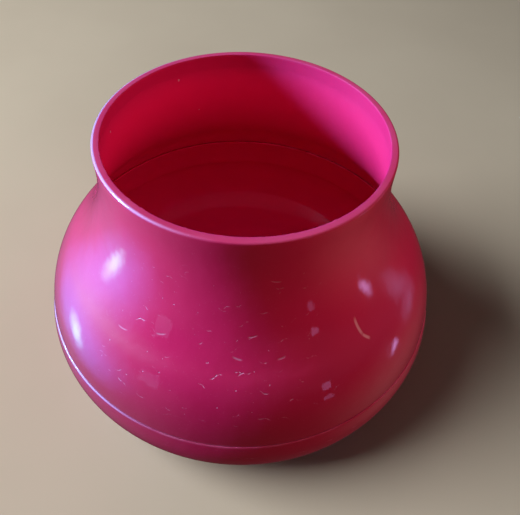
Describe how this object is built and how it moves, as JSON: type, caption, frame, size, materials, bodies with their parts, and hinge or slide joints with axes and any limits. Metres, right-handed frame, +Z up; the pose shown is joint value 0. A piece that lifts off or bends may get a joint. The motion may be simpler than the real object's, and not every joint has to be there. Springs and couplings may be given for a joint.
{
  "type": "wide-mouthed round pot",
  "caption": "Squat bulbous glossy red plastic pot or planter with a wide plain mouth, a flared neck and a low seam ledge.",
  "frame": {"origin": "centre of the foot ring, on the ground plane the pot stands on", "axes": "+Z up along the pot's axis of revolution, out of the mouth; +X and +Y are free because the pot is round"},
  "size_m": [0.302, 0.3019, 0.2],
  "materials": {
    "upper_shell": "glossy crimson moulded plastic, lightly scuffed",
    "lower_shell": "glossy crimson moulded plastic, lightly scuffed",
    "joining_band": "crimson moulded plastic, unpolished"
  },
  "bodies": {
    "root": {"upper_shell": "upper_shell", "lower_shell": "lower_shell", "joining_band": "joining_band"}
  },
  "joints": []
}
